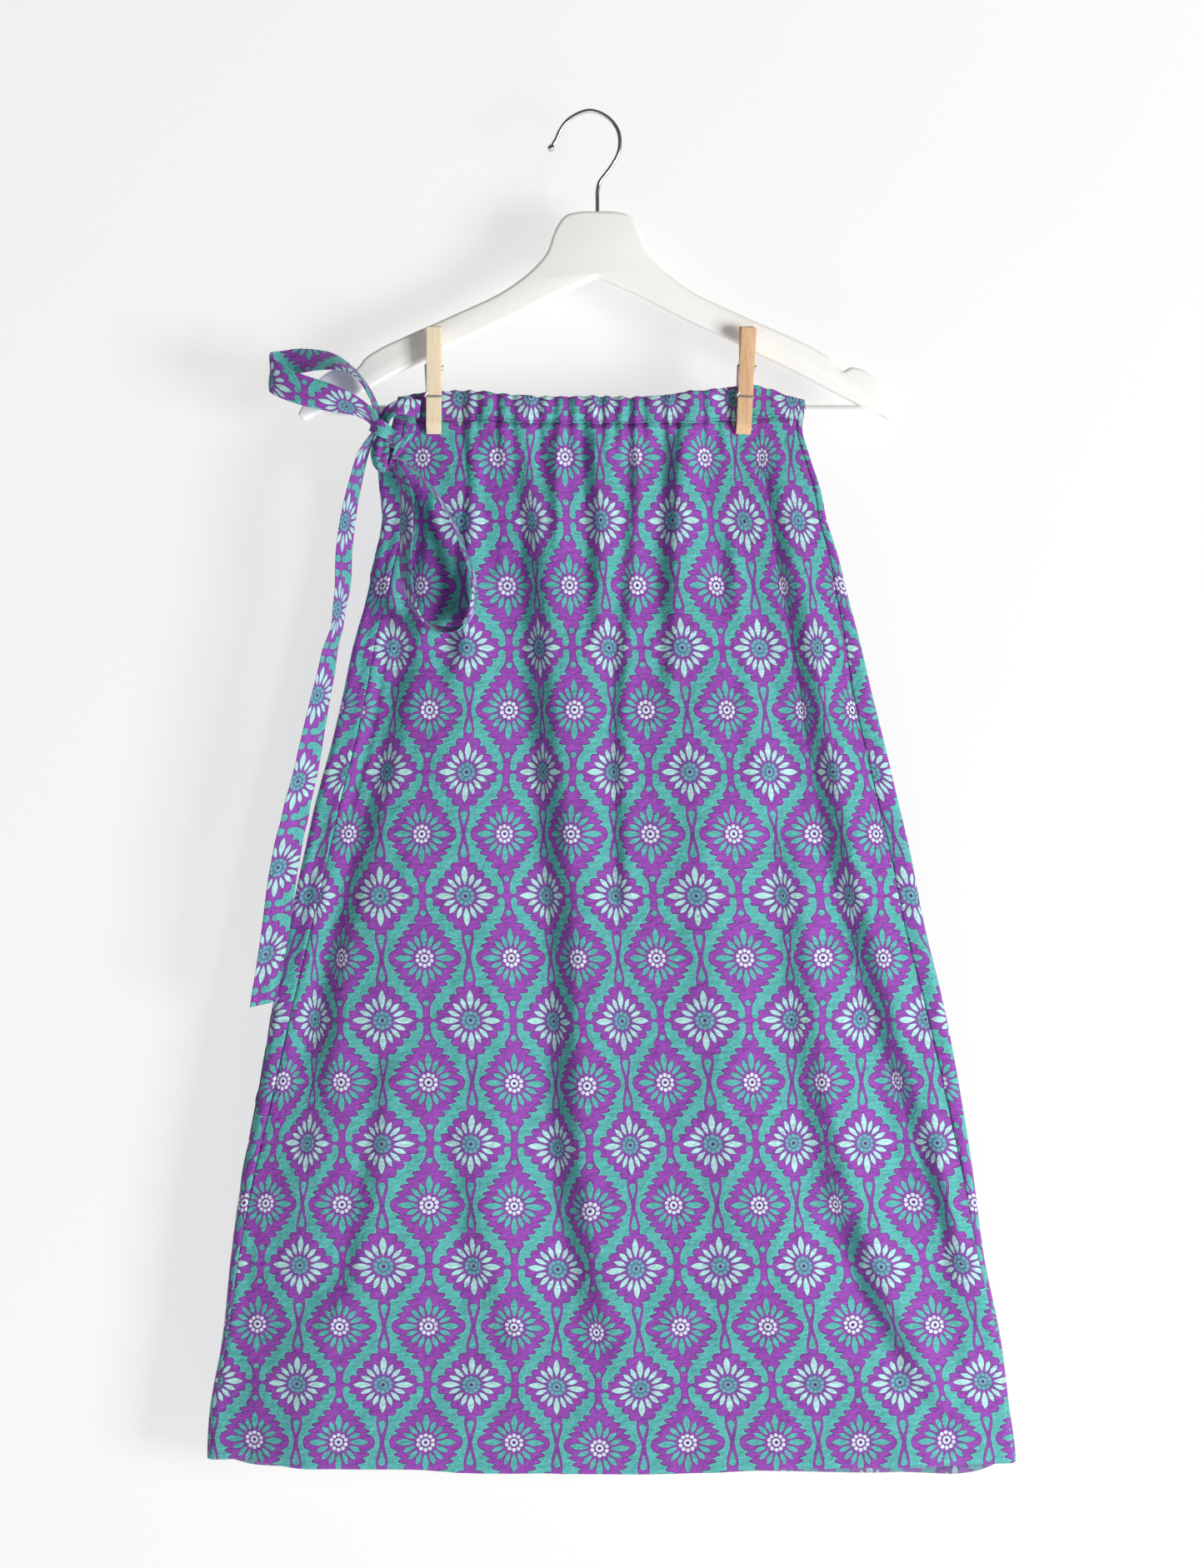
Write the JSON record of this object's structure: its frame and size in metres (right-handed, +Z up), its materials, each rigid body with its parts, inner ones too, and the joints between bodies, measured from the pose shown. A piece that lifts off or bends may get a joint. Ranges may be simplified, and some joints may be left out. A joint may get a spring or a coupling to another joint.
{
  "type": "longyi sarong skirt on a clothes hanger",
  "caption": "Flared longyi-style skirt with a gathered waistband and a side bow tie, pegged to the bar of a wooden clothes hanger.",
  "frame": {"origin": "the point inside the top of the hanger's wire hook that bears on a rail", "axes": "+Z up, the front of the skirt faces -Y, +X to the viewer's right"},
  "size_m": [0.5819, 0.0538, 0.9865],
  "materials": {
    "printed_cloth": "matte crinkled viscose, purple with a teal leaf lattice and daisies",
    "white_paint": "satin white paint on wood",
    "hook_steel": "bright plated wire",
    "left_peg_wood": "bare pale birch",
    "right_peg_wood": "bare honey-coloured birch",
    "spring_steel": "plain drawn wire"
  },
  "bodies": {
    "root": {"skirt_front": "printed_cloth", "skirt_back": "printed_cloth", "waistband_front": "printed_cloth", "waistband_back": "printed_cloth", "tie_root": "printed_cloth", "tie_knot": "printed_cloth", "tie_loop_left": "printed_cloth", "tie_loop_right": "printed_cloth", "tie_tail": "printed_cloth", "hanger_body": "white_paint", "hanger_bar": "white_paint", "hanger_hook": "hook_steel", "peg_left_front": "left_peg_wood", "peg_left_rear": "left_peg_wood", "peg_left_spring": "spring_steel", "peg_right_front": "right_peg_wood", "peg_right_rear": "right_peg_wood", "peg_right_spring": "spring_steel"}
  },
  "joints": []
}
